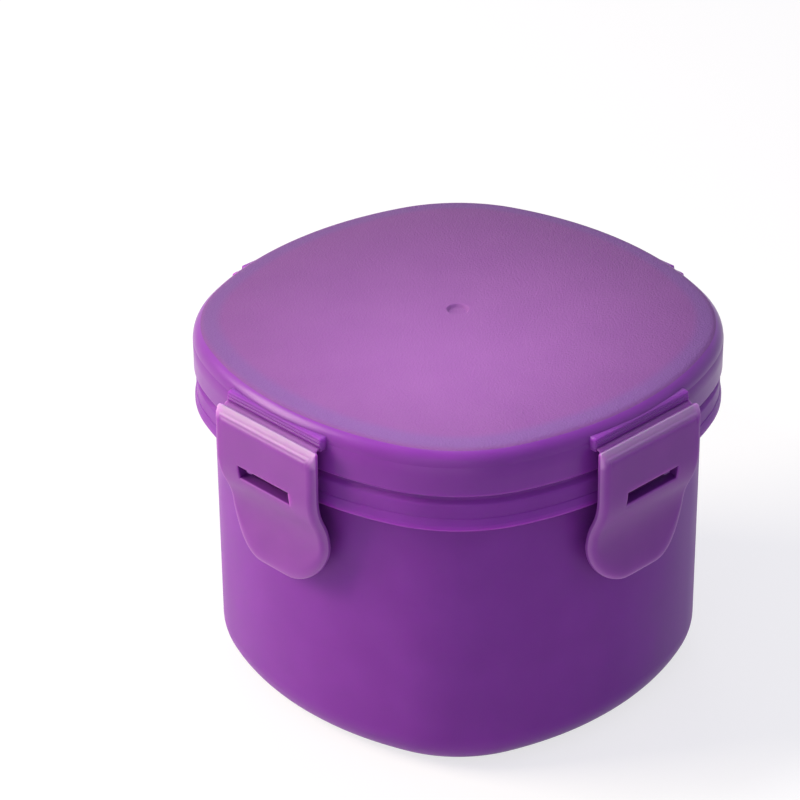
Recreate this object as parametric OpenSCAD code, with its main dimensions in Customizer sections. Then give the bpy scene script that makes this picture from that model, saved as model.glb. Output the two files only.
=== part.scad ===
// Toddler snack container: rounded-square bowl, crowned lid, soft seal and four fold-down clips.
// Millimetres, +Z up, standing on Z = 0 with its centre line on the Z axis.

/* [Outline] */
// Half of the width across the flats of the lid
half_w = 48; // [44:0.5:54]
// Bulge of the sides: the corner arcs are this much tighter than a circle
bulge = 2.75; // [2.4:0.05:3]

/* [Container] */
// How far the wall stands inside the lid's outline
wall_inset = 3.7; // [3.5:0.1:4.5]
// Wall and floor thickness
wall_t = 1.5; // [1.2:0.1:1.8]
// Lean of the wall between flange and base
wall_draft = 0.2; // [0:0.05:0.6]
// Radius between wall and base
base_r = 8.3; // [6:0.1:10]
// Depth of the recess under the base
foot_h = 0.8; // [0.4:0.1:1.2]
// Width of the ring that it stands on
foot_w = 4; // [3:0.5:6]
// Height of the flange's lower edge above the table
flange_z = 56.4; // [50:0.2:66]
// Height of the flange from lower edge to shelf
flange_h = 7.1; // [6.5:0.1:9]
// Height of the bead along the flange's lower edge
bead_h = 2.6; // [2:0.1:3]
// Step between the bead and the flange above it
bead_step = 0.35; // [0.2:0.05:0.6]
// Rounding of the flange's shoulder under the lid
shoulder_r = 1.2; // [0.8:0.1:1.4]

/* [Lid] */
// Height of the lid from skirt edge to rim
lid_h = 9.45; // [9.2:0.05:11]
// Thickness of the lid's skin
lid_t = 1.6; // [1.4:0.1:1.8]
// Radius round the lid's upper edge
rim_r = 3.2; // [3:0.1:3.6]
// Rise of the crowned panel above the rim
crown_h = 1.8; // [1:0.1:2.6]
// Diameter of the gate dimple in the middle
dimple_d = 4.2; // [3:0.1:6]

/* [Seal] */
// Width of the soft ring
seal_w = 3.7; // [3.3:0.1:3.9]
// Thickness of the soft ring
seal_t = 2; // [1.6:0.1:2.2]

/* [Clips] */
// Half of a clip's width
clip_half = 13.2; // [12:0.1:14]
// Thickness of a clip
clip_t = 2; // [1.8:0.1:2.2]
// How far the clip's face stands outside the lid
clip_out = 3.25; // [3.1:0.05:3.6]
// How far the clip bends in below the flange
clip_bend = 3.25; // [3:0.05:3.4]
// Length of the clip below the hinge
clip_len = 30.7; // [29:0.1:33]
// Half of the slot's width
slot_half = 6.9; // [5:0.1:8]
// Height of the slot
slot_h = 2.9; // [2.5:0.1:3.2]
// Play between the hook and the flange
hook_play = 0.5; // [0.45:0.05:0.6]

/* [Hidden] */
$fn = 96;

// Fits
seat_gap = 0.3;
press_gap = 0.05;
seal_fit = 0.05;
pivot_fit = 0.05;

// Plan: each side and corner is one arc. Side and corner arcs meet in line on a ray with a slope
// of 5 in 12, so the 5-12-13 triangle gives every centre and radius without rounding.
side_c = 7 * bulge;
side_r = half_w + 7 * bulge;
corner_c = 5 * bulge;
corner_r = half_w - 6 * bulge;
reach = corner_r - 1.5;

// Heights
shelf_z = flange_z + flange_h;
skirt_z = shelf_z + seat_gap;
rim_z = skirt_z + lid_h;
top_z = rim_z + crown_h;
seal_z = rim_z - lid_t - 0.07 - seal_t;
lip_z = seal_z - press_gap;

// Crown: an arc from the rim that runs level into the middle of the panel
level = reach - 2;
crown_l = level - rim_r;
crown_r = (crown_l * crown_l + crown_h * crown_h) / (2 * crown_h);

// Ring channel under the lid
lip_t = wall_t - 0.3;
rib_t = 1;
rib_out = 2.3;
seal_out = rib_out + rib_t + seal_fit;
seal_in = seal_out + seal_w;
rib_in = seal_in + seal_fit;

// Hinge
pivot_r = 0.45;
pivot_u = half_w + pivot_r + pivot_fit;
pivot_z = rim_z - 3.95;
web_t = 0.5;
web_a = -50;
ledge_half = clip_half - 0.3;
ledge_out = 0.3;

// Clip: a straight head, two arcs that bend it in, and one that lets its tip flare out. The first
// two meet in line on a slope of 8 in 15, from the 8-15-17 triangle.
face_u = half_w + clip_out;
back_u = face_u - clip_t;
head_z = pivot_z - 0.4;
bend_z = flange_z + 3.1;
bend_k = clip_bend / 2;
bend_r = 15;
turn_r = 17 * bend_k - bend_r;
waist_z = bend_z - 8 * bend_k;
flare_r = 18;
tip_z = pivot_z - clip_len;
tip_r = 9.5;
edge_r = 1.3;
hook_z = flange_z - hook_play;
hook_u = half_w - 1.4;
hook_half = slot_half - 0.3;

polypropylene = [0.56, 0.32, 0.64];
clip_polypropylene = [0.62, 0.38, 0.68];
silicone = [0.55, 0.5, 0.66];

// Sweeps a section (x = outward from the outline, y = height) round the plan
module round_plan() {
  for (q = [0:3]) rotate(90 * q) {
    intersection() {
      translate([-side_c, 0, 0]) rotate_extrude() translate([side_r, 0]) children();
      translate([-side_c, 0, -1]) linear_extrude(2 * half_w)
        polygon([[0, 0], [12 * 8, -5 * 8], [12 * 8, 5 * 8]]);
    }
    intersection() {
      translate([corner_c, corner_c, 0]) rotate_extrude() translate([corner_r, 0]) children();
      translate([corner_c, corner_c, -1]) linear_extrude(2 * half_w)
        polygon([[0, 0], [12 * 4, 5 * 4], [12 * 4, 12 * 4], [5 * 4, 12 * 4]]);
    }
  }
}

// Plan of the outline pulled in by inset, for the middle that the sweep leaves open
module middle(inset, z0, z1) {
  translate([0, 0, z0]) linear_extrude(z1 - z0)
    intersection_for(q = [0:3]) rotate(90 * q) translate([-side_c, 0]) circle(side_r - inset);
}

module soft_box(x0, x1, z0, z1, r) {
  translate([x0 + r, z0]) square([x1 - x0 - 2 * r, z1 - z0]);
  translate([x0, z0 + r]) square([x1 - x0, z1 - z0 - 2 * r]);
  for (x = [x0 + r, x1 - r], z = [z0 + r, z1 - r]) translate([x, z]) circle(r);
}

// Section of the bowl filled solid, pulled in by t
module bowl_section(t, z0) {
  cx = -wall_inset - wall_draft - base_r;
  translate([-reach - 1, z0 + t]) square([reach + 1 + cx, shelf_z]);
  translate([cx, base_r]) circle(base_r - t);
  polygon([[cx - 1, base_r], [cx + base_r - t, base_r], [-wall_inset - t, shelf_z],
    [-wall_inset - t, lip_z + 1], [cx - 1, lip_z + 1]]);
}

module container_section() {
  lip_u = -wall_inset - wall_t;
  foot_u = -wall_inset - wall_draft - base_r - foot_w;
  difference() {
    union() {
      intersection() {
        bowl_section(0, 0);
        translate([-reach, 0]) square([reach, shelf_z]);
      }
      polygon([[lip_u, shelf_z - 1], [lip_u + lip_t, shelf_z - 1], [lip_u + lip_t, lip_z - 0.3],
        [lip_u + lip_t - 0.3, lip_z], [lip_u + 0.3, lip_z], [lip_u, lip_z - 0.3]]);
      translate([-wall_inset - 0.6, shelf_z - wall_t])
        square([wall_inset + 0.6 - bead_step - shoulder_r, wall_t]);
      translate([-bead_step - shoulder_r, shelf_z - shoulder_r]) circle(shoulder_r);
      soft_box(-bead_step - wall_t + 0.1, -bead_step, flange_z + 0.5, shelf_z - shoulder_r + 0.4, 0.4);
      soft_box(-wall_t, 0, flange_z, flange_z + bead_h, 0.5);
    }
    difference() {
      bowl_section(wall_t, 0);
      polygon([[-reach - 1, 0], [foot_u, 0], [foot_u, wall_t], [foot_u - foot_h, wall_t + foot_h],
        [-reach - 1, wall_t + foot_h]]);
    }
    polygon([[-reach - 1, -1], [foot_u + 0.4, -1], [foot_u + 0.4, 0], [foot_u - foot_h + 0.4, foot_h],
      [-reach - 1, foot_h]]);
  }
}

module container() {
  color(polypropylene) union() {
    round_plan() container_section();
    middle(reach - 1, foot_h, foot_h + wall_t);
  }
}

// Section of the lid filled solid, pulled in by t
module lid_section(t) {
  intersection() {
    union() {
      translate([-reach, 0]) square([reach - rim_r, top_z]);
      translate([-reach, 0]) square([reach - t, rim_z - rim_r]);
      translate([-rim_r, rim_z - rim_r]) circle(rim_r - t);
    }
    union() {
      translate([-level, top_z - crown_r]) circle(crown_r - t);
      translate([-reach - 1, 0]) square([reach + 1 - level, top_z - t]);
    }
  }
}

module ring_rib(u0, z0) {
  intersection() {
    translate([-u0 - rib_t, z0]) square([rib_t, top_z - z0]);
    lid_section(lid_t / 2);
  }
}

module skin_section() {
  intersection() {
    difference() {
      lid_section(0);
      lid_section(lid_t);
    }
    soft_box(-reach - 1, 0, skirt_z, top_z + 1, 0.35);
  }
  ring_rib(rib_out, seal_z - 3.4);
  ring_rib(rib_in, seal_z - 4.6);
}

// Straight bar across one side, from a section (x = outward, y = height)
module side_bar(w) {
  rotate([90, 0, 0]) linear_extrude(2 * w, center = true) children();
}

module hinge_ledge() {
  difference() {
    side_bar(ledge_half) polygon([[half_w - 4, pivot_z - 0.7], [pivot_u - ledge_out, pivot_z - 0.7],
      [pivot_u - ledge_out, pivot_z + 1.1], [half_w - 0.9, pivot_z + 2], [half_w - 4, pivot_z + 2]]);
    translate([-side_c, 0, pivot_z - 2]) cylinder(r = side_r - lid_t / 2, h = 6);
    side_bar(ledge_half + 1) translate([pivot_u, pivot_z]) circle(pivot_r + pivot_fit);
  }
}

module lid() {
  color(polypropylene) difference() {
    union() {
      round_plan() skin_section();
      middle(reach - 1, top_z - lid_t, top_z);
      for (q = [0:3]) rotate(90 * q) hinge_ledge();
    }
    difference() {
      translate([0, 0, top_z - 0.4]) cylinder(d = dimple_d, h = 1);
      rotate(-45) translate([0.6, 0, top_z - 0.6]) cylinder(d = 1.1, h = 0.5);
    }
  }
}

module seal_ring() {
  color(silicone) round_plan() soft_box(-seal_in, -seal_out, seal_z, seal_z + seal_t, 0.3);
}

// Cross-section of a clip: x = 0 is its face, y runs across it
module clip_plate() {
  intersection() {
    translate([-clip_t, -clip_half]) square([clip_t, 2 * clip_half]);
    union() {
      translate([-clip_t, -clip_half]) square([clip_t - edge_r, 2 * clip_half]);
      translate([-clip_t, edge_r - clip_half]) square([clip_t, 2 * (clip_half - edge_r)]);
      for (s = [-1, 1]) translate([-edge_r, s * (clip_half - edge_r)]) circle(edge_r);
    }
  }
}

// Bends the clip's cross-section round an axis across the side, between the rays to two points
module clip_arc(u, z, p0, p1) {
  translate([u, 0, z]) intersection() {
    rotate([90, 0, 0]) rotate_extrude() children();
    rotate([90, 0, 0]) linear_extrude(4 * clip_half, center = true) polygon([[0, 0], p0, p1]);
  }
}

module clip_front_outline() {
  y1 = clip_half - tip_r;
  translate([-clip_half, tip_z + tip_r]) square([2 * clip_half, pivot_z - tip_z]);
  translate([-y1, tip_z]) square([2 * y1, tip_r + 1]);
  for (s = [-1, 1]) translate([s * y1, tip_z + tip_r]) circle(tip_r);
}

module clip_body() {
  intersection() {
    union() {
      translate([face_u, 0, bend_z]) linear_extrude(head_z - bend_z) clip_plate();
      clip_arc(face_u - bend_r, bend_z, [15 * 2, -8 * 2], [15 * 2, 0])
        translate([bend_r, 0]) clip_plate();
      clip_arc(face_u - clip_bend + turn_r, waist_z, [-15 * 2, 8 * 2], [-15 * 2, 0])
        translate([turn_r, 0]) mirror([1, 0]) clip_plate();
      clip_arc(face_u - clip_bend + flare_r, waist_z, [-3 * flare_r, 0], [-3 * flare_r, -3 * flare_r])
        translate([flare_r, 0]) mirror([1, 0]) clip_plate();
    }
    translate([back_u - 2 * clip_bend, 0, 0]) rotate([90, 0, 90]) linear_extrude(5 * clip_bend)
      clip_front_outline();
  }
}

module clip() {
  difference() {
    union() {
      difference() {
        clip_body();
        side_bar(clip_half + 1) polygon([[back_u, head_z], [face_u + 1, head_z - clip_t - 1],
          [face_u + 1, head_z + 2], [back_u, head_z + 2]]);
      }
      side_bar(ledge_half - 0.5) {
        translate([pivot_u, pivot_z]) circle(pivot_r);
        translate([pivot_u, pivot_z]) rotate(web_a) translate([0, -web_t / 2]) square([1.7, web_t]);
      }
      side_bar(hook_half) polygon([[hook_u, hook_z], [back_u + 0.2, hook_z],
        [back_u - 0.8, hook_z - 3], [hook_u + 0.9, hook_z - 2], [hook_u, hook_z - 0.7]]);
    }
    translate([half_w, -slot_half, hook_z]) cube([clip_out + 1, 2 * slot_half, slot_h]);
  }
}

module clip_front() {
  color(clip_polypropylene) rotate(-90) clip();
}

module clip_right() {
  color(clip_polypropylene) clip();
}

module clip_back() {
  color(clip_polypropylene) rotate(90) clip();
}

module clip_left() {
  color(clip_polypropylene) rotate(180) clip();
}

container();
lid();
seal_ring();
clip_front();
clip_right();
clip_back();
clip_left();
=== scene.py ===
import math

import bmesh
import bpy
from mathutils import Matrix, Vector


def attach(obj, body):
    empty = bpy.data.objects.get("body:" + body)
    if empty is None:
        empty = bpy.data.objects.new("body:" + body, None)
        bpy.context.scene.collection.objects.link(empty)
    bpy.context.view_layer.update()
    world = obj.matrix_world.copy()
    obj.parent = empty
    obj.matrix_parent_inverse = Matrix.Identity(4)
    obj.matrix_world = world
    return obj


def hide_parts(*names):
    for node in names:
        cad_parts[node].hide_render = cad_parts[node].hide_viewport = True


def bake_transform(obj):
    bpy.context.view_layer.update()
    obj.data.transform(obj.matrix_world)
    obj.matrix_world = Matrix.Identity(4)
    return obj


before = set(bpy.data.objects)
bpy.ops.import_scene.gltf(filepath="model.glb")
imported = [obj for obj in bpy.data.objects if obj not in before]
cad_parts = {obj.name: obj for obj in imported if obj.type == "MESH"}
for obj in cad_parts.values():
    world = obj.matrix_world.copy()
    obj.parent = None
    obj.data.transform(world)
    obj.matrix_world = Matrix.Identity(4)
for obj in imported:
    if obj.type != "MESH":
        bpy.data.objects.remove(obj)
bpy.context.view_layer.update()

mm = 0.001
quarter = math.pi / 2
weld = 0.0005 * mm
white = (1, 1, 1, 1)
scene = bpy.context.scene


def srgb(code):
    # hex colour to the linear values that the shaders take
    parts = [int(code[i:i + 2], 16) / 255 for i in (1, 3, 5)]
    linear = [p / 12.92 if p <= 0.04045 else ((p + 0.055) / 1.055) ** 2.4 for p in parts]
    return (*linear, 1.0)


def addNode(tree, kind, settings=None, inputs=None):
    # inputs holds plain values or output sockets to link, by socket name or number
    node = tree.nodes.new(kind)
    for key, value in (settings or {}).items():
        setattr(node, key, value)
    for key, value in (inputs or {}).items():
        if isinstance(value, bpy.types.NodeSocket):
            tree.links.new(value, node.inputs[key])
        else:
            node.inputs[key].default_value = value
    return node


def maths(tree, operation, first, second=0.0, third=0.0):
    return addNode(tree, "ShaderNodeMath", {"operation": operation},
                   {0: first, 1: second, 2: third}).outputs[0]


# materials: everything is polypropylene but the seal, so the finishes share one recipe;
# radius is the scattering in metres, grain, mottle, bump, bands and sand are in millimetres

bodyFinish = {"colour": "#7f369c", "deep": "#752d90", "roughness": 0.42, "level": 0.15,
              "subsurface": 0.7, "radius": (0.0090, 0.0020, 0.0090), "grain": 0.9, "bump": 0.012,
              "mottle": 9.0}
lidFinish = {"colour": "#7f3398", "deep": "#752c90", "roughness": 0.3, "level": 0.24,
             "subsurface": 0.5, "radius": (0.0060, 0.0016, 0.0060), "grain": 0.9, "bump": 0.005,
             "mottle": 8.0}
panelFinish = {"colour": "#7b4d85", "deep": "#754780", "roughness": 0.5, "level": 0.05,
               "subsurface": 0.2, "radius": (0.0030, 0.0014, 0.0034), "grain": 0.9, "bump": 0.006,
               "mottle": 8.0, "seal": "#6f4f86", "sealShare": 0.75, "bandOut": -1.4,
               "bandIn": -4.9, "wander": 0.9, "wanderSize": 16.66667, "sand": 0.42,
               "sandBump": 0.22}
# edge is a painted highlight on the clip's head and rounded edges; slot is a painted shade on the
# slot's walls
clipFinish = {"edge": "#b98fc2", "highlightShare": 0.75, "highlightFrom": 0.02, "highlightTo": 0.45,
              "slot": "#5c2372", "colour": "#864699", "deep": "#7c3e90", "roughness": 0.4,
              "level": 0.18, "subsurface": 0.6, "radius": (0.0070, 0.0018, 0.0070), "grain": 0.8,
              "bump": 0.005, "mottle": 6.0}
sealFinish = {"colour": "#a9a3b8", "deep": "#9c97ad", "roughness": 0.5, "level": 0.4,
              "subsurface": 0.3, "radius": (0.0030, 0.0028, 0.0032), "grain": 0.6, "bump": 0.010,
              "mottle": 5.0}


# what all the mouldings share: their mottle's noise, how far it moves the roughness, and IOR
moulded = {"detail": 1.5, "noise": 0.4, "from": 0.3, "to": 0.7, "smoother": 0.015, "rougher": 0.02,
           "grainDetail": 2.0, "grainNoise": 0.6, "relief": 0.6, "ior": 1.49}


def plasticMaterial(name, finish):
    # moulded plastic: satin skin, a slow mottle from the melt's flow, faint mould grain; real
    # mould grain is too fine to show at this size, so it is drawn coarser
    material = bpy.data.materials.new(name)
    material.use_nodes = True
    tree = material.node_tree
    tree.nodes.clear()
    where = addNode(tree, "ShaderNodeTexCoord").outputs["Object"]
    mottle = addNode(tree, "ShaderNodeTexNoise", None,
                     {"Vector": where, "Scale": 1 / (finish["mottle"] * mm),
                      "Detail": moulded["detail"], "Roughness": moulded["noise"]})
    tint = addNode(tree, "ShaderNodeMix", {"data_type": "RGBA"},
                   {0: mottle.outputs["Fac"], 6: srgb(finish["deep"]), 7: srgb(finish["colour"])})
    grain = addNode(tree, "ShaderNodeTexNoise", None,
                    {"Vector": where, "Scale": 1 / (finish["grain"] * mm),
                     "Detail": moulded["grainDetail"], "Roughness": moulded["grainNoise"]})
    rough = addNode(tree, "ShaderNodeMapRange", None,
                    {"Value": mottle.outputs["Fac"], "From Min": moulded["from"],
                     "From Max": moulded["to"],
                     "To Min": finish["roughness"] - moulded["smoother"],
                     "To Max": finish["roughness"] + moulded["rougher"]})
    bump = addNode(tree, "ShaderNodeBump", None,
                   {"Strength": moulded["relief"], "Distance": finish["bump"] * mm,
                    "Height": grain.outputs["Fac"]})
    shader = addNode(tree, "ShaderNodeBsdfPrincipled", None,
                     {"Base Color": tint.outputs[2], "Roughness": rough.outputs[0],
                      "IOR": moulded["ior"], "Specular IOR Level": finish["level"],
                      "Subsurface Weight": finish["subsurface"],
                      "Subsurface Radius": finish["radius"], "Subsurface Scale": 1.0,
                      "Normal": bump.outputs[0]})
    addNode(tree, "ShaderNodeOutputMaterial", None, {"Surface": shader.outputs[0]})
    return material, shader, tint, bump


def lidMaterial(name, finish):
    # the panel is sand textured inside its smooth rim; the grey seal shows through as a soft band
    material, shader, tint, bump = plasticMaterial(name, finish)
    tree = material.node_tree
    where = addNode(tree, "ShaderNodeTexCoord").outputs["Object"]
    inset = addNode(tree, "ShaderNodeAttribute", {"attribute_name": "inset"}).outputs["Fac"]
    wander = addNode(tree, "ShaderNodeTexNoise", None,
                     {"Vector": where, "Scale": 1 / (finish["wanderSize"] * mm), "Detail": 2.0})
    shifted = maths(tree, "MULTIPLY_ADD", wander.outputs["Fac"], finish["wander"] * mm, inset)
    bandOut = addNode(tree, "ShaderNodeMapRange", {"interpolation_type": "SMOOTHSTEP"},
                      {"Value": shifted, "From Min": (finish["bandOut"] + 0.6) * mm,
                       "From Max": (finish["bandOut"] - 0.9) * mm}).outputs[0]
    bandIn = addNode(tree, "ShaderNodeMapRange", {"interpolation_type": "SMOOTHSTEP"},
                     {"Value": shifted, "From Min": (finish["bandIn"] - 1.0) * mm,
                      "From Max": (finish["bandIn"] + 1.2) * mm}).outputs[0]
    band = maths(tree, "MULTIPLY", bandOut, bandIn)
    sealTint = addNode(tree, "ShaderNodeMix", {"data_type": "RGBA"},
                       {0: maths(tree, "MULTIPLY", band, finish["sealShare"]), 6: tint.outputs[2],
                        7: srgb(finish["seal"])})
    tree.links.new(sealTint.outputs[2], shader.inputs["Base Color"])
    sand = addNode(tree, "ShaderNodeTexNoise", None,
                   {"Vector": where, "Scale": 1 / (finish["sand"] * mm), "Detail": 2.0,
                    "Roughness": 0.7})
    sandBump = addNode(tree, "ShaderNodeBump", None,
                       {"Strength": 0.8, "Distance": finish["sandBump"] * mm,
                        "Height": sand.outputs["Fac"], "Normal": bump.outputs[0]})
    tree.links.new(sandBump.outputs[0], shader.inputs["Normal"])
    return material


def clipMaterial(name, finish):
    # the clip is thin enough for light to come through; its sloping head and rounded edges get a
    # painted highlight for that light and for the key's reflection
    material, shader, tint, bump = plasticMaterial(name, finish)
    tree = material.node_tree
    paintedHighlightShade = addNode(tree, "ShaderNodeAttribute", {"attribute_name": "paintedHighlightShade"}).outputs["Fac"]
    share = addNode(tree, "ShaderNodeMapRange", {"interpolation_type": "SMOOTHSTEP"},
                    {"Value": paintedHighlightShade, "From Min": finish["highlightFrom"], "From Max": finish["highlightTo"],
                     "To Max": finish["highlightShare"]}).outputs[0]
    highlightPainted = addNode(tree, "ShaderNodeMix", {"data_type": "RGBA"},
                    {0: share, 6: tint.outputs[2], 7: srgb(finish["edge"])})
    # the slot's walls get a painted shade, dark and full coloured, for the shade deep inside the
    # slot
    slotShade = addNode(tree, "ShaderNodeMapRange", None,
                    {"Value": paintedHighlightShade, "From Min": 0.0, "From Max": -1.0}).outputs[0]
    slotShaded = addNode(tree, "ShaderNodeMix", {"data_type": "RGBA"},
                     {0: slotShade, 6: highlightPainted.outputs[2], 7: srgb(finish["slot"])})
    tree.links.new(slotShaded.outputs[2], shader.inputs["Base Color"])
    return material


containerPlastic = plasticMaterial("polypropylene_moulded_satin", bodyFinish)[0]
lidPlastic = plasticMaterial("polypropylene_moulded_smooth", lidFinish)[0]
panelPlastic = lidMaterial("polypropylene_moulded_sand_texture", panelFinish)
clipPlastic = clipMaterial("polypropylene_moulded_translucent_painted_highlight", clipFinish)
# silicone: soft, matt and greyish, next to the glossier lid that shows it as a grey band
silicone = plasticMaterial("silicone_moulded", sealFinish)[0]
print("materials ready")


# sections, in millimetres: x is the distance outside the outline, z the height; the outline is
# a rounded square whose sides bow, and it is swept as one arc per side and one per corner

plan = {"half": 48.0, "bulge": 2.75, "reach": 30.0}


def filletPath(corners, closed=False):
    # corners are (x, z, radius): arcs at the corners, with a support point close beside each
    points = []
    support, share = 0.12, 0.06
    count = len(corners)
    for i, (x, z, radius) in enumerate(corners):
        here = Vector((x, z))
        ends = not closed and i in (0, count - 1)
        if ends or radius <= 0:
            points.append(here)
            continue
        before = Vector(corners[i - 1][:2]) - here
        after = Vector(corners[(i + 1) % count][:2]) - here
        turn = math.pi - before.angle(after)
        reach = min(radius * math.tan(turn / 2), before.length * 0.48, after.length * 0.48)
        bend = reach / math.tan(turn / 2)
        start, end = here + before.normalized() * reach, here + after.normalized() * reach
        halfway = (before.normalized() + after.normalized()).normalized()
        centre = here + halfway * math.hypot(reach, bend)
        steps = max(3, math.ceil(math.degrees(turn) / (6 if bend > 1.5 else 15)))
        points.append(start + before.normalized() * min(support, before.length * share))
        arm = start - centre
        span = arm.angle_signed(end - centre)
        points += [centre + Matrix.Rotation(-span * k / steps, 2) @ arm for k in range(steps + 1)]
        points.append(end + after.normalized() * min(support, after.length * share))
    return points


def splitLong(points, longest):
    # adds points where two lie further apart than longest
    result = [points[0]]
    for a, b in zip(points, points[1:]):
        pieces = max(1, math.ceil((b - a).length / longest))
        result += [a.lerp(b, k / pieces) for k in range(1, pieces + 1)]
    return result


def newGroup(name, sizes):
    # a tree with named inputs: the section's mesh, the sizes as (name, kind), and the material
    tree = bpy.data.node_groups.new(name, "GeometryNodeTree")
    for label, kind in [("Section", "Geometry"), *sizes, ("Finish", "Material")]:
        tree.interface.new_socket(label, in_out="INPUT", socket_type="NodeSocket" + kind)
    tree.interface.new_socket("Result", in_out="OUTPUT", socket_type="NodeSocketGeometry")
    return tree, addNode(tree, "NodeGroupInput").outputs


def sectionGrid(tree, given, rows):
    # a grid with the section's points along one way and its stations along the other
    points = addNode(tree, "GeometryNodeAttributeDomainSize", None,
                     {0: given["Section"]}).outputs["Point Count"]
    grid = addNode(tree, "GeometryNodeMeshGrid", None, {"Vertices X": rows, "Vertices Y": points})
    index = addNode(tree, "GeometryNodeInputIndex").outputs[0]
    station = addNode(tree, "FunctionNodeIntegerMath", {"operation": "DIVIDE_FLOOR"},
                      {0: index, 1: points}).outputs[0]
    along = addNode(tree, "FunctionNodeIntegerMath", {"operation": "MODULO"},
                    {0: index, 1: points}).outputs[0]
    place = addNode(tree, "GeometryNodeInputPosition").outputs[0]
    sample = addNode(tree, "GeometryNodeSampleIndex",
                     {"data_type": "FLOAT_VECTOR", "domain": "POINT"},
                     {"Geometry": given["Section"], "Value": place, "Index": along}).outputs[0]
    section = addNode(tree, "ShaderNodeSeparateXYZ", None, {0: sample}).outputs
    return grid.outputs["Mesh"], index, station, section


def closeGroup(tree, given, geometry):
    realized = addNode(tree, "GeometryNodeRealizeInstances", None, {"Geometry": geometry})
    finished = addNode(tree, "GeometryNodeSetMaterial", None,
                       {"Geometry": realized.outputs[0], "Material": given["Finish"]})
    addNode(tree, "NodeGroupOutput", None, {0: finished.outputs[0]})
    return tree


def sweptGroup():
    # sweeps a section round the rounded-square outline: each side and each corner is one arc
    tree, given = newGroup("sweep section round outline", [("Steps", "Int"),
                                                           ("Half Width", "Float"),
                                                           ("Bulge", "Float"), ("Reach", "Float")])
    mesh, index, station, section = sectionGrid(tree, given,
                                                maths(tree, "ADD", given["Steps"], 1.0))
    turns = maths(tree, "MULTIPLY", maths(tree, "DIVIDE", station, given["Steps"]), 4.0)
    side = maths(tree, "ROUND", turns)
    angle = maths(tree, "MULTIPLY", maths(tree, "SUBTRACT", turns, side), quarter)
    # side and corner arcs meet where a 5-12-13 triangle puts them
    corner = maths(tree, "GREATER_THAN", maths(tree, "ABSOLUTE", angle), math.atan2(5, 12))
    # arc centre and radius: the side's lie 7 bulges back, the corner's 5 bulges out on both axes
    centreX = maths(tree, "MULTIPLY", given["Bulge"],
                    maths(tree, "MULTIPLY_ADD", corner, 12.0, -7.0))
    signed = maths(tree, "MULTIPLY", given["Bulge"], maths(tree, "SIGN", angle))
    centreY = maths(tree, "MULTIPLY", signed, maths(tree, "MULTIPLY", corner, 5.0))
    radius = maths(tree, "MULTIPLY_ADD", given["Bulge"],
                   maths(tree, "MULTIPLY_ADD", corner, -13.0, 7.0), given["Half Width"])
    inner = maths(tree, "MULTIPLY", given["Reach"], -1.0)
    outset = maths(tree, "ADD", radius, maths(tree, "MAXIMUM", section[0], inner))
    east, north = maths(tree, "COSINE", angle), maths(tree, "SINE", angle)
    outline = addNode(tree, "ShaderNodeCombineXYZ", None,
                      {0: maths(tree, "MULTIPLY_ADD", outset, east, centreX),
                       1: maths(tree, "MULTIPLY_ADD", outset, north, centreY)}).outputs[0]
    # inside the reach the outline shrinks to the centre and turns into a circle
    middle = maths(tree, "SUBTRACT", given["Half Width"], given["Reach"])
    shrink = addNode(tree, "ShaderNodeMapRange", None,
                     {"Value": maths(tree, "ADD", section[0], given["Half Width"]),
                      "From Min": 0.0, "From Max": middle}).outputs[0]
    circle = addNode(tree, "ShaderNodeCombineXYZ", None,
                     {0: maths(tree, "MULTIPLY", east, middle),
                      1: maths(tree, "MULTIPLY", north, middle)}).outputs[0]
    roundness = addNode(tree, "ShaderNodeMapRange", {"interpolation_type": "SMOOTHSTEP"},
                        {"Value": shrink, "From Min": 0.95, "From Max": 0.3}).outputs[0]
    footprint = addNode(tree, "ShaderNodeMix", {"data_type": "VECTOR"},
                        {0: roundness, 4: outline, 5: circle}).outputs[1]
    shrunk = addNode(tree, "ShaderNodeVectorMath", {"operation": "SCALE"},
                     {0: footprint, "Scale": shrink}).outputs[0]
    height = addNode(tree, "ShaderNodeCombineXYZ", None, {2: section[2]}).outputs[0]
    raised = addNode(tree, "ShaderNodeVectorMath", {"operation": "ADD"},
                     {0: shrunk, 1: height}).outputs[0]
    spin = maths(tree, "MULTIPLY", side, quarter)
    turned = addNode(tree, "ShaderNodeVectorRotate", {"rotation_type": "Z_AXIS"},
                     {"Vector": raised, "Angle": spin}).outputs[0]
    moved = addNode(tree, "GeometryNodeSetPosition", None, {"Geometry": mesh, "Position": turned})
    marked = addNode(tree, "GeometryNodeStoreNamedAttribute",
                     {"data_type": "FLOAT", "domain": "POINT"},
                     {"Geometry": moved.outputs[0], "Name": "inset", "Value": section[0]})
    merged = addNode(tree, "GeometryNodeMergeByDistance", None,
                     {"Geometry": marked.outputs[0], "Distance": weld})
    smooth = addNode(tree, "GeometryNodeSetShadeSmooth", None, {"Geometry": merged.outputs[0]})
    return closeGroup(tree, given, smooth.outputs[0])


def runTree(name, tree, points, settings):
    # puts the section into a mesh, runs the tree on it and keeps the result as a plain mesh
    mesh = bpy.data.meshes.new(name + "Section")
    mesh.from_pydata([(p[0] * mm, 0, p[1] * mm) for p in points],
                     [(i, i + 1) for i in range(len(points) - 1)], [])
    source = bpy.data.objects.new(name + "Section", mesh)
    scene.collection.objects.link(source)
    modifier = source.modifiers.new("build", "NODES")
    modifier.node_group = tree
    sockets = {item.name: item.identifier for item in tree.interface.items_tree
               if item.item_type == "SOCKET" and item.in_out == "INPUT"}
    for key, value in settings.items():
        modifier[sockets[key]] = value
    bpy.context.view_layer.update()
    graph = bpy.context.evaluated_depsgraph_get()
    plain = bpy.data.meshes.new_from_object(source.evaluated_get(graph))
    plain.name = name
    finish = [material for material in plain.materials if material]
    plain.materials.clear()
    plain.materials.append(finish[0])
    plain.polygons.foreach_set("material_index", [0] * len(plain.polygons))
    bpy.data.objects.remove(source)
    return tidyMesh(name, plain)


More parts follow.
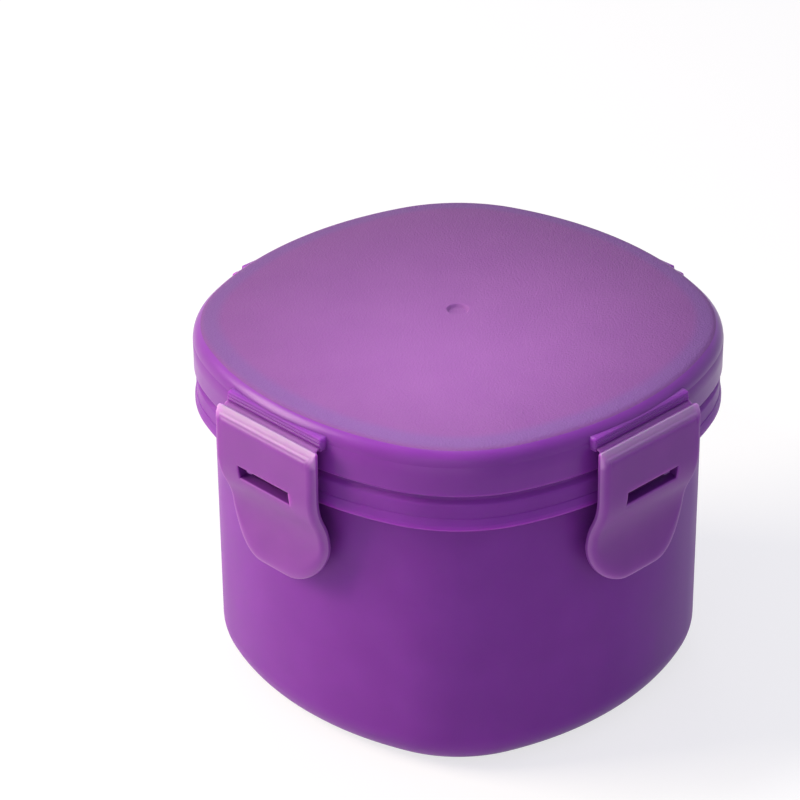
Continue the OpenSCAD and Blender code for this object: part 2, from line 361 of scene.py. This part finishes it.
def tidyMesh(name, mesh, sharpAngle=50):
    # closes the seams, points every face outwards and keeps real edges crisp
    work = bmesh.new()
    work.from_mesh(mesh)
    bmesh.ops.remove_doubles(work, verts=work.verts, dist=weld)
    bmesh.ops.recalc_face_normals(work, faces=work.faces)
    for face in work.faces:
        face.smooth = True
    limit = math.radians(sharpAngle)
    for edge in work.edges:
        edge.smooth = len(edge.link_faces) != 2 or edge.calc_face_angle(0) < limit
    openEdges = sum(1 for edge in work.edges if len(edge.link_faces) != 2)
    work.to_mesh(mesh)
    work.free()
    piece = bpy.data.objects.new(name, mesh)
    scene.collection.objects.link(piece)
    print(name, "faces", len(mesh.polygons), "open edges", openEdges)
    return piece


outlineTree = sweptGroup()


def sweep(name, points, steps, finish):
    return runTree(name, outlineTree, points,
                   {"Steps": steps, "Half Width": plan["half"] * mm, "Bulge": plan["bulge"] * mm,
                    "Reach": plan["reach"] * mm, "Finish": finish})


container = {"wallInset": 3.7, "wall": 1.5, "draft": 0.2, "baseRadius": 12.3, "foot": 4.0,
             "footDepth": 0.8, "floor": 2.3, "flangeIn": -1.75, "flangeLow": 56.4,
             "beadHeight": 2.6, "beadStep": 0.35, "wallTop": 62.0, "hollow": 0.85, "shelf": 63.5,
             "lipOut": -4.0, "lipTop": 69.53, "steps": 384}


def containerSection():
    # from the middle of the base up the outside, over flange, shelf and lip, and down the inside
    c = container
    middle = -plan["half"]
    wall, inner = -c["wallInset"], -c["wallInset"] - c["wall"]
    base = wall - c["draft"]
    footOut = base - c["baseRadius"]
    footIn = footOut - c["foot"]
    step, low = -c["beadStep"], c["flangeLow"]
    beadTop = low + c["beadHeight"]
    corners = [(middle, c["footDepth"], 0), (footIn - 0.4, c["footDepth"], 0.5),
               (footIn + 0.4, 0, 0.35), (base, 0, c["baseRadius"]), (wall, c["wallTop"], 0.5),
               (c["flangeIn"], c["wallTop"], 0.5), (c["flangeIn"], low + 0.5, 0.15),
               (c["flangeIn"] + 0.25, low, 0.3), (0, low, 1.15), (0, low + 1.3, 0.8),
               (step + 0.12, beadTop, 0.12), (step, beadTop + 0.08, 0.04),
               (step, c["wallTop"] - 0.1, 0.7), (step - c["hollow"], c["shelf"] - 0.8, 0.45),
               (step - c["hollow"], c["shelf"], 0.15), (c["lipOut"], c["shelf"], 0.25),
               (c["lipOut"], c["lipTop"], 0.5), (inner, c["lipTop"], 0.5),
               (inner - c["draft"], c["wall"], c["baseRadius"] - c["wall"]),
               (footIn, c["wall"], 0.6), (footIn - 0.8, c["floor"], 0.6), (middle, c["floor"], 0)]
    return splitLong(filletPath(corners), 5.0)


containerShell = sweep("containerShell", containerSection(), container["steps"], containerPlastic)


lid = {"textureEnd": 72.76, "skirtLow": 63.8, "rim": 73.25, "top": 75.05, "skin": 1.6,
       "rimRadius": 3.2, "rimEase": 0.05, "level": 28.0, "dimple": 2.1, "dimpleDepth": 0.62,
       "nubOut": 0.6, "nubRadius": 0.6, "nubHeight": 0.4, "nubFloor": 74.2, "steps": 384}


def crownHeight(x):
    # the panel's crown: level in the middle, then one arc down to the rim
    run, rise = lid["level"] - lid["rimRadius"], lid["top"] - lid["rim"]
    radius = (run * run + rise * rise) / (2 * rise)
    over = max(0.0, x + lid["level"])
    return lid["top"] - radius + math.sqrt(radius * radius - over * over)


def lidSection():
    # gate dimple, crowned panel and rim, then the skirt, the seal's channel and the underside
    l = lid
    middle = -plan["half"]
    dent, skin, ease = l["top"] - l["dimpleDepth"], l["skin"], -l["rimEase"]
    dimple = filletPath([(middle, dent, 0), (middle + l["dimple"] - 0.35, dent, 0.3),
                         (middle + l["dimple"] + 0.05, l["top"], 0.3), (middle + 4, l["top"], 0)])
    across = [-40, -34] + [-30 + 0.9 * k for k in range(29)] + [-3.9, -3.4]
    panel = [Vector((x, crownHeight(x))) for x in across]
    centre = Vector((-l["rimRadius"], l["rim"] - l["rimRadius"]))
    rim = [centre + Vector((math.sin(a), math.cos(a))) * l["rimRadius"]
           for a in [math.radians(14 + 76 * k / 13) for k in range(14)]]
    # the rim eases in by a hair, so that a fine step shows where the skirt starts
    rim = [Vector((p.x + ease * min(1, (p.x + l["rimRadius"]) / 3), p.y)) for p in rim]

    def below(x):
        return crownHeight(x) - skin

    skirt = filletPath([(ease, 70.04, 0), (ease, 69.98, 0), (0, 69.93, 0),
                        (0, l["skirtLow"], 0.45), (-skin, l["skirtLow"], 0.3), (-skin, 70.6, 0.2),
                        (-1.95, 71.1, 0.2), (-2.3, 71.35, 0.1), (-2.3, 66.18, 0.25),
                        (-3.3, 66.18, 0.25), (-3.3, below(-3.3), 0.15), (-7.1, below(-7.1), 0.15),
                        (-7.1, 64.98, 0.25), (-8.1, 64.98, 0.25), (-8.1, below(-8.1), 0.3),
                        (-10, below(-10), 0)])
    inward = (-12, -14, -16, -19, -22, -25, -28, -30, -36, -42, middle)
    under = [Vector((x, below(x))) for x in inward]
    return splitLong(dimple + panel + rim, 1.6) + splitLong(skirt + under, 3.0)


lidShell = sweep("lidShell", lidSection(), lid["steps"], lidPlastic)
lidShell.data.materials.append(panelPlastic)
for face in lidShell.data.polygons:
    # the sand texture covers the panel and stops where the rim turns down
    if face.normal.z > 0.5 and face.center.z > lid["textureEnd"] * mm:
        face.material_index = 1
nubPlace = Vector((1, -1)).normalized() * lid["nubOut"] * mm
for vertex in lidShell.data.vertices:
    # the gate's small nub, raised out of the dimple's floor
    away = (Vector(vertex.co[:2]) - nubPlace).length / (lid["nubRadius"] * mm)
    if away < 1 and vertex.co.z > lid["nubFloor"] * mm:
        vertex.co.z += lid["nubHeight"] * mm * (1 - away * away) ** 0.5


seal = {"out": -3.35, "in": -7.05, "low": 69.58, "high": 71.58, "steps": 288}
sealPath = filletPath([(seal["out"], seal["low"], 0.55), (seal["out"], seal["high"], 0.4),
                       (seal["in"], seal["high"], 0.4), (seal["in"], seal["low"], 0.55),
                       (-5.9, seal["low"], 0.2), (-5.5, seal["low"] + 0.25, 0.2),
                       (-4.9, seal["low"] + 0.25, 0.2), (-4.5, seal["low"], 0.2)], closed=True)
sealRing = sweep("sealRing", splitLong(sealPath + [sealPath[0]], 2.0), seal["steps"], silicone)


# hinge ledges: one grooved bar with rounded ends, set on each side of the lid

ledge = {"half": 12.95, "end": 0.5, "anchorX": 46.6, "anchorZ": 69.9, "stations": 49, "count": 4}


def ledgeGroup():
    # draws the section across one side, rounds its ends and repeats it at quarter turns
    tree, given = newGroup("hinge ledges", [("Stations", "Int"), ("Half Length", "Float"),
                                            ("End", "Float"), ("Anchor X", "Float"),
                                            ("Anchor Z", "Float"), ("Count", "Int")])
    mesh, index, station, section = sectionGrid(tree, given, given["Stations"])
    last = maths(tree, "SUBTRACT", given["Stations"], 1.0)
    share = maths(tree, "MULTIPLY_ADD", maths(tree, "DIVIDE", station, last), 2.0, -1.0)
    across = maths(tree, "MULTIPLY", maths(tree, "SINE", maths(tree, "MULTIPLY", share, quarter)),
                   given["Half Length"])
    straight = maths(tree, "SUBTRACT", given["Half Length"], given["End"])
    past = maths(tree, "SUBTRACT", maths(tree, "ABSOLUTE", across), straight)
    over = addNode(tree, "ShaderNodeMapRange", None,
                   {"Value": past, "From Min": 0.0, "From Max": given["End"]}).outputs[0]
    keep = maths(tree, "SQRT", maths(tree, "SUBTRACT", 1.0, maths(tree, "MULTIPLY", over, over)))
    outX = maths(tree, "MULTIPLY_ADD", maths(tree, "SUBTRACT", section[0], given["Anchor X"]),
                 keep, given["Anchor X"])
    outZ = maths(tree, "MULTIPLY_ADD", maths(tree, "SUBTRACT", section[2], given["Anchor Z"]),
                 keep, given["Anchor Z"])
    spot = addNode(tree, "ShaderNodeCombineXYZ", None, {0: outX, 1: across, 2: outZ}).outputs[0]
    bar = addNode(tree, "GeometryNodeSetPosition", None, {"Geometry": mesh, "Position": spot})
    line = addNode(tree, "GeometryNodeMeshLine", None,
                   {"Count": given["Count"], "Offset": (0, 0, 0)})
    turn = addNode(tree, "ShaderNodeCombineXYZ", None,
                   {2: maths(tree, "MULTIPLY", index, quarter)}).outputs[0]
    bars = addNode(tree, "GeometryNodeInstanceOnPoints", None,
                   {"Points": line.outputs[0], "Instance": bar.outputs[0], "Rotation": turn})
    return closeGroup(tree, given, bars.outputs[0])


ledgePath = filletPath([(45.6, 68.6, 0), (48.1, 68.6, 0.2), (48.1, 69.0, 0.1),
                        (47.95, 69.15, 0.05), (48.22, 69.45, 0.1), (48.22, 69.95, 0.08),
                        (48.06, 70.08, 0.04), (48.18, 70.22, 0.05), (48.12, 70.55, 0.06),
                        (47.98, 70.66, 0.04), (48.08, 70.78, 0.05), (47.95, 71.15, 0.12),
                        (47.5, 71.35, 0.18), (45.6, 71.35, 0)], closed=True)
hingeLedges = runTree("hingeLedges", ledgeGroup(), ledgePath + [ledgePath[0]],
                      {"Stations": ledge["stations"], "Half Length": ledge["half"] * mm,
                       "End": ledge["end"] * mm, "Anchor X": ledge["anchorX"] * mm,
                       "Anchor Z": ledge["anchorZ"] * mm, "Count": ledge["count"],
                       "Finish": lidPlastic})


# clips: one plate made ring by ring, with the hook and the hinge's film as bars across it

clip = {"half": 13.3, "waist": 12.85, "waistTop": 60.0, "waistRun": 14.0, "thick": 2.0,
        "face": 51.25, "headTop": 69.15, "corner": 0.45, "bendTop": 59.5, "bendRadius": 15.0,
        "turnRadius": 12.625, "flareRadius": 18.0, "bendIn": 3.25, "tip": 38.6, "tipRadius": 9.5,
        "edge": 1.45, "edgeDepth": 1.25, "tipEdge": 2.75, "tipEdgeTop": 47.0, "tipEdgeRun": 5.0,
        "slotHalf": 6.9, "slotLow": 55.9, "slotHigh": 58.8, "highlightHead": 2.6, "highlightBelow": 0.45,
        "hookHalf": 6.6, "filmHalf": 12.45}
# points on each part of a ring
clipCounts = {"top": 28, "corner": 4, "side": 22, "tipCorner": 16, "tip": 8}
clipTurns = {"front": -90, "right": 0, "back": 90, "left": 180}


def clipFace(z):
    # the face's distance from the centre and its outward direction at a height
    c = clip
    # an 8-15-17 triangle puts the change of arc where their directions are the same
    low = c["bendTop"] - 4 * c["bendIn"]
    change = c["bendTop"] - 8 / 17 * c["bendRadius"]
    if z >= c["bendTop"]:
        return c["face"], 1.0, 0.0
    if z >= change:
        drop = c["bendTop"] - z
        run = math.sqrt(c["bendRadius"] ** 2 - drop ** 2)
        return c["face"] - c["bendRadius"] + run, run / c["bendRadius"], -drop / c["bendRadius"]
    rise, radius = z - low, c["turnRadius"] if z > low else c["flareRadius"]
    run = math.sqrt(radius ** 2 - rise ** 2)
    return c["face"] - c["bendIn"] + radius - run, run / radius, -rise / radius


def clipOutline(inset):
    # one ring round the clip, pulled in by inset: 4 edges and 4 corners with fixed counts
    c, n = clip, clipCounts
    top, tip = c["headTop"] - inset, c["tip"] + inset
    topRadius, tipRadius = max(c["corner"] - inset, 0.02), c["tipRadius"] - inset
    ring = []

    def half(z):
        share = min(1.0, max(0.0, (c["waistTop"] - z) / c["waistRun"]))
        share = share * share * (3 - 2 * share)
        return c["half"] + (c["waist"] - c["half"]) * share - inset

    # clockwise from the top left: top edge, corner, side, tip corner, tip, and back up
    high, low = top - topRadius, tip + tipRadius
    wide, flat = half(top), half(low) - tipRadius
    quarters = {part: [quarter * k / n[part] for k in range(n[part])]
                for part in ("corner", "tipCorner")}
    sides = [k / n["side"] for k in range(n["side"])]
    down = [high + (low - high) * k for k in sides]
    up = [low + (high - low) * k for k in sides]
    ring += [((-1 + 2 * k / n["top"]) * (wide - topRadius), top) for k in range(n["top"])]
    ring += [(wide - topRadius + topRadius * math.sin(a), high + topRadius * math.cos(a))
             for a in quarters["corner"]]
    ring += [(half(z), z) for z in down]
    ring += [(flat + tipRadius * math.cos(a), low - tipRadius * math.sin(a))
             for a in quarters["tipCorner"]]
    ring += [(flat - 2 * flat * k / n["tip"], tip) for k in range(n["tip"])]
    ring += [(-flat - tipRadius * math.sin(a), low - tipRadius * math.cos(a))
             for a in quarters["tipCorner"]]
    ring += [(-half(z), z) for z in up]
    ring += [(-wide + topRadius - topRadius * math.cos(a), high + topRadius * math.sin(a))
             for a in quarters["corner"]]
    return ring


def slotOutline(outset):
    # the slot's ring with the same number of points as the outline's
    c, n = clip, clipCounts
    wide, low, high = c["slotHalf"] + outset, c["slotLow"] - outset, c["slotHigh"] + outset
    turn = n["tipCorner"] // 2
    foot = 2 * (n["tipCorner"] - turn) + n["tip"]
    sides = [k / n["side"] for k in range(n["side"])]
    ring = [(-wide + 2 * wide * k / n["top"], high) for k in range(n["top"])]
    ring += [(wide, high)] * n["corner"]
    ring += [(wide, high + (low - high) * k) for k in sides] + [(wide, low)] * turn
    ring += [(wide - 2 * wide * (k + 1) / (foot + 1), low) for k in range(foot)]
    ring += [(-wide, low)] * turn + [(-wide, low + (high - low) * k) for k in sides]
    return ring + [(-wide, high)] * n["corner"]


def clipDepth(inset, z):
    # how deep the front lies under the face: soft side edge, and the sloping head with two beads
    c = clip
    side = 0.0
    nearTip = min(1.0, max(0.0, (c["tipEdgeTop"] - z) / c["tipEdgeRun"]))
    edge = c["edge"] + (c["tipEdge"] - c["edge"]) * nearTip
    if inset < edge:
        share = 1 - inset / edge
        side = c["edgeDepth"] * (1 - math.sqrt(max(0.0, 1 - share * share)))
    down = c["headTop"] - z
    # (distance below the head's top, depth)
    head = [(0.0, 1.52), (0.06, 1.42), (0.2, 1.32), (0.75, 0.96), (0.95, 0.84), (1.05, 0.92),
            (1.15, 0.84), (1.35, 0.6), (1.65, 0.42), (1.78, 0.48), (1.88, 0.4), (2.1, 0.14),
            (2.4, 0.04), (2.8, 0.0), (60, 0.0)]
    for (d0, v0), (d1, v1) in zip(head, head[1:]):
        if d0 <= down <= d1:
            return max(side, v0 + (v1 - v0) * (down - d0) / (d1 - d0))
    return side


def clipMesh():
    # a per-point value tells the material where to paint: a painted highlight above 0 on head and
    # edges, a painted shade at -1 inside the slot
    work = bmesh.new()
    paintedHighlightShade = work.verts.layers.float.new("paintedHighlightShade")
    c = clip
    rings = []
    thick, count = c["thick"], len(clipOutline(0))

    # edge 1 gives a ring the painted highlight, -1 the painted shade of the slot's walls
    def addRing(points, depths, edge=0.0):
        ring = []
        for (y, z), depth in zip(points, depths):
            u, outU, outZ = clipFace(z)
            vertex = work.verts.new(((u - depth * outU) * mm, y * mm, (z - depth * outZ) * mm))
            # the head's top takes the full painted highlight, the edges below only a share of it
            highlightAmount = edge * (1.0 if z > c["headTop"] - c["highlightHead"] else c["highlightBelow"])
            vertex[paintedHighlightShade] = -1.0 if edge < 0 else min(1.0, highlightAmount * depth / thick)
            ring.append(vertex)
        rings.append(ring)

    # back sheet from the slot outwards, round the edge, then the front sheet back to the slot
    insets = [0.0, 0.06, 0.16, 0.3, 0.5, 0.75, 1.0, 1.2, 1.35, 1.45, 1.6, 1.8, 2.0, 2.15, 2.4, 2.8]
    inner, hole = clipOutline(insets[-1]), slotOutline(0.25)
    between = [[(a[0] + (b[0] - a[0]) * share, a[1] + (b[1] - a[1]) * share)
                for a, b in zip(inner, hole)] for share in [k / 12 for k in range(1, 12)]]
    rim = clipOutline(0.0)
    addRing(slotOutline(0), [thick] * count, edge=-1.0)
    for ring in [hole, *reversed(between)] + [clipOutline(inset) for inset in (2.8, 1.2, 0.3)]:
        addRing(ring, [thick] * count)
    addRing(clipOutline(0.08), [thick - 0.06] * count)
    addRing(rim, [thick - 0.28] * count)
    addRing(rim, [min(thick - 0.3, clipDepth(0, z) + 0.2) for y, z in rim])
    for inset in insets:
        ring = clipOutline(inset)
        addRing(ring, [min(thick - 0.31, clipDepth(inset, z)) for y, z in ring], edge=1.0)
    for ring in between:
        # 9 mm in from the edge only the head's slope is left
        addRing(ring, [clipDepth(9, z) for y, z in ring], edge=1.0)
    addRing(hole, [0.0] * count)
    addRing(slotOutline(0.08), [0.04] * count)
    addRing(slotOutline(0), [0.18] * count)
    addRing(slotOutline(0), [0.4] * count, edge=-1.0)
    for near, far in zip(rings, rings[1:] + rings[:1]):
        for k in range(count):
            k1 = (k + 1) % count
            work.faces.new([near[k], near[k1], far[k1], far[k]])
    bmesh.ops.remove_doubles(work, verts=work.verts, dist=weld)

    def addBar(section, half, steps, end=0.4):
        # a prism across the clip from a closed section in (u, z), with slightly rounded ends
        middle = sum((Vector(p) for p in section), Vector((0, 0))) / len(section)
        taper = [(-half, 0.8), (-half + 0.15 * end, 0.93), (-half + end, 1.0)]
        flat = half - end
        stations = taper + [(-flat + 2 * flat * k / steps, 1.0) for k in range(1, steps)]
        stations += [(-y, keep) for y, keep in reversed(taper)]
        bars = [[work.verts.new(((middle.x + (p[0] - middle.x) * keep) * mm, y * mm,
                                 (middle.y + (p[1] - middle.y) * keep) * mm)) for p in section]
                for y, keep in stations]
        for near, far in zip(bars, bars[1:]):
            for k in range(len(section)):
                k1 = (k + 1) % len(section)
                work.faces.new([near[k], near[k1], far[k1], far[k]])
        work.faces.new(bars[0])
        work.faces.new(list(reversed(bars[-1])))

    # the hook that catches under the flange, just below the slot
    hook = filletPath([(46.6, 55.9, 0.15), (49.2, 55.9, 0), (49.0, 52.9, 0), (48.45, 52.9, 0.1),
                       (47.5, 53.9, 0.3), (46.6, 55.2, 0.2)], closed=True)
    addBar(hook, c["hookHalf"], steps=6)
    # the thin film that bends: from inside the ledge to inside the head
    film = [(47.9, 69.45), (48.2, 69.5), (48.45, 69.48), (48.7, 69.35), (48.95, 69.15),
            (49.3, 68.85), (49.7, 68.5), (49.4, 68.2), (49.0, 68.55), (48.7, 68.8), (48.45, 68.98),
            (48.2, 69.05), (47.9, 69.05)]
    addBar(film, c["filmHalf"], steps=10)
    mesh = bpy.data.meshes.new("clip")
    work.to_mesh(mesh)
    work.free()
    return mesh


clipSource = clipMesh()
clipPieces = {}
for name, turn in clipTurns.items():
    turned = clipSource.copy()
    turned.transform(Matrix.Rotation(math.radians(turn), 4, "Z"))
    turned.materials.append(clipPlastic)
    clipPieces[name] = tidyMesh("clipPlate_" + name, turned, sharpAngle=60)
print("pieces ready")


# what stands for what, and what moves with what

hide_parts("container")
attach(containerShell, "container")
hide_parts("lid")
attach(lidShell, "lid")
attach(hingeLedges, "lid")
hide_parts("seal_ring")
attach(sealRing, "lid")
for name, turn in clipTurns.items():
    piece = clipPieces[name]
    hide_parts("clip_" + name)
    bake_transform(piece)


# stage, light and camera

# lamps in watts; the key is warm and the fill cool, and a small lamp close over the lid stands in
# for the light that comes through it
studio = {"key": 8.5, "back": 1.5, "top": 0.07, "front": 1.3, "fill": 0.42, "floor": 0.8,
          "faint": 0.35, "glow": 0.7, "warm": (1.0, 0.92, 0.72), "cool": (0.94, 0.93, 1.2, 1)}


def seenByEye(tree):
    # 1 for what the camera sees directly, mirrored or through something, 0 for scattered light
    path = addNode(tree, "ShaderNodeLightPath").outputs
    mirrored = maths(tree, "MAXIMUM", path["Is Glossy Ray"], path["Is Transmission Ray"])
    return maths(tree, "MAXIMUM", path["Is Camera Ray"], mirrored)


def backdropMaterial():
    # white to the camera and to reflections with the shadow kept, pale floor to everything else
    material = bpy.data.materials.new("paper_white_matt")
    material.use_nodes = True
    tree = material.node_tree
    tree.nodes.clear()
    seen = seenByEye(tree)
    plain = addNode(tree, "ShaderNodeBsdfDiffuse", None, {"Color": (studio["floor"],) * 3 + (1,)})
    faint = addNode(tree, "ShaderNodeBsdfDiffuse", None, {"Color": (studio["faint"],) * 3 + (1,)})
    glow = addNode(tree, "ShaderNodeEmission", None, {"Color": white, "Strength": studio["glow"]})
    lit = addNode(tree, "ShaderNodeAddShader", None, {0: faint.outputs[0], 1: glow.outputs[0]})
    both = addNode(tree, "ShaderNodeMixShader", None,
                   {0: seen, 1: plain.outputs[0], 2: lit.outputs[0]})
    addNode(tree, "ShaderNodeOutputMaterial", None, {"Surface": both.outputs[0]})
    return material


bpy.ops.mesh.primitive_plane_add(size=8, location=(0, 0, -0.0003))
floor = bpy.context.object
floor.name = "floor"
floor.data.materials.append(backdropMaterial())

world = bpy.data.worlds.new("studio")
scene.world = world
world.use_nodes = True
tree = world.node_tree
tree.nodes.clear()
seen = seenByEye(tree)
level = addNode(tree, "ShaderNodeMapRange", None,
                {"Value": seen, "To Min": studio["fill"], "To Max": 1.0}).outputs[0]
shade = addNode(tree, "ShaderNodeMix", {"data_type": "RGBA"},
                {0: seen, 6: studio["cool"], 7: white}).outputs[2]
sky = addNode(tree, "ShaderNodeBackground", None, {"Color": shade, "Strength": level})
addNode(tree, "ShaderNodeOutputWorld", None, {"Surface": sky.outputs[0]})


def softbox(name, place, target, size, watts, colour=(1, 1, 1)):
    lamp = bpy.data.lights.new(name, "AREA")
    lamp.color = colour
    lamp.shape = "RECTANGLE"
    lamp.size, lamp.size_y = size
    lamp.energy = watts
    holder = bpy.data.objects.new(name, lamp)
    holder.location = place
    holder.rotation_euler = (Vector(target) - Vector(place)).to_track_quat("-Z", "Y").to_euler()
    holder.visible_camera = False
    scene.collection.objects.link(holder)


softbox("key", (-0.52, -0.53, 0.45), (0, 0, 0.04), (0.42, 0.42), studio["key"], studio["warm"])
softbox("front", (0.42, -0.66, 0.08), (0, 0, 0.04), (0.7, 0.7), studio["front"])
softbox("back", (-1.0, 0.75, 1.28), (0, 0, 0.07), (0.5, 0.5), studio["back"])
softbox("top", (0.016, -0.022, 0.145), (0.016, -0.022, 0.073), (0.02, 0.02), studio["top"])

# the camera stands where the photograph was taken from; spot is the pixel its target falls on
shot = {"sensor": 36.0, "azimuth": 45.0, "elevation": 31.284, "distance": 0.6991,
        "target": (0, 0, 0.0366), "fieldPixels": 3550.1, "frame": 800, "spot": (457.9, 480.4)}
camera = bpy.data.cameras.new("camera")
camera.sensor_width = shot["sensor"]
camera.lens = shot["sensor"] * shot["fieldPixels"] / shot["frame"]
holder = bpy.data.objects.new("camera", camera)
scene.collection.objects.link(holder)
rise, turn = math.radians(shot["elevation"]), math.radians(shot["azimuth"])
away = Vector((math.cos(rise) * math.cos(turn), -math.cos(rise) * math.sin(turn), math.sin(rise)))
target = Vector(shot["target"])
holder.location = target + away * shot["distance"]
aim = (-away).to_track_quat("-Z", "Y")
middle = shot["frame"] / 2
wanted = Vector(((shot["spot"][0] - middle) / shot["fieldPixels"],
                 -(shot["spot"][1] - middle) / shot["fieldPixels"], -1))
holder.rotation_mode = "QUATERNION"
holder.rotation_quaternion = aim @ wanted.rotation_difference(Vector((0, 0, -1)))
scene.camera = holder
scene.view_settings.view_transform = "Standard"

print("scene ready")
